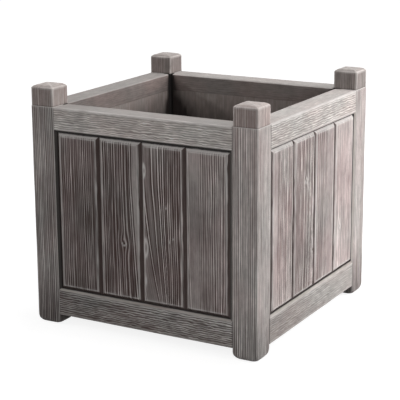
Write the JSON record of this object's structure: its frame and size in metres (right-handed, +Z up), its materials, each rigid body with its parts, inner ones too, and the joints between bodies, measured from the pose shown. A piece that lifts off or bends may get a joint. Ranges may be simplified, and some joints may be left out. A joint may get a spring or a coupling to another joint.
{
  "type": "square planter",
  "caption": "Square panelled planter in weathered grey timber: corner posts with capped heads, bevelled boards between rails, smooth lining and a slatted floor that drains.",
  "frame": {"origin": "on the ground, under the middle of the planter", "axes": "+Z up; -Y is the front side, the left one of the two sides seen in the picture; +X is the right one"},
  "size_m": [0.5, 0.5, 0.487],
  "materials": {
    "post_timber": "brushed softwood in a dry grey-brown stain, pale on the worn edges",
    "cap_timber": "brushed softwood in a dry grey-brown stain, pale on the worn edges",
    "rail_timber": "brushed softwood with a wavy lengthwise grain in a dry grey stain",
    "board_timber": "deeply brushed softwood, dark brown-grey stain in the grain with pale raised lines",
    "bead_timber": "planed softwood in a dry grey stain",
    "lining_board": "smooth board in a matt grey-brown stain",
    "floor_timber": "sawn softwood, unfinished and weathered",
    "dowel_wood": "turned beech, unfinished",
    "screw_metal": "plain stainless steel"
  },
  "bodies": {
    "root": {"post_front_left": "post_timber", "post_front_right": "post_timber", "post_back_right": "post_timber", "post_back_left": "post_timber", "cap_front_left": "cap_timber", "cap_front_right": "cap_timber", "cap_back_right": "cap_timber", "cap_back_left": "cap_timber", "cap_dowels": "dowel_wood", "top_rail_front": "rail_timber", "top_rail_right": "rail_timber", "top_rail_back": "rail_timber", "top_rail_left": "rail_timber", "bottom_rail_front": "rail_timber", "bottom_rail_right": "rail_timber", "bottom_rail_back": "rail_timber", "bottom_rail_left": "rail_timber", "board_front_1": "board_timber", "board_front_2": "board_timber", "board_front_3": "board_timber", "board_front_4": "board_timber", "board_right_1": "board_timber", "board_right_2": "board_timber", "board_right_3": "board_timber", "board_right_4": "board_timber", "board_back_1": "board_timber", "board_back_2": "board_timber", "board_back_3": "board_timber", "board_back_4": "board_timber", "board_left_1": "board_timber", "board_left_2": "board_timber", "board_left_3": "board_timber", "board_left_4": "board_timber", "bead_front": "bead_timber", "bead_right": "bead_timber", "bead_back": "bead_timber", "bead_left": "bead_timber", "lining_front": "lining_board", "lining_right": "lining_board", "lining_back": "lining_board", "lining_left": "lining_board", "bearer_front": "floor_timber", "bearer_back": "floor_timber", "floor_slat_1": "floor_timber", "floor_slat_2": "floor_timber", "floor_slat_3": "floor_timber", "floor_slat_4": "floor_timber", "floor_slat_5": "floor_timber", "floor_screws": "screw_metal", "bearer_screws": "screw_metal"}
  },
  "joints": []
}
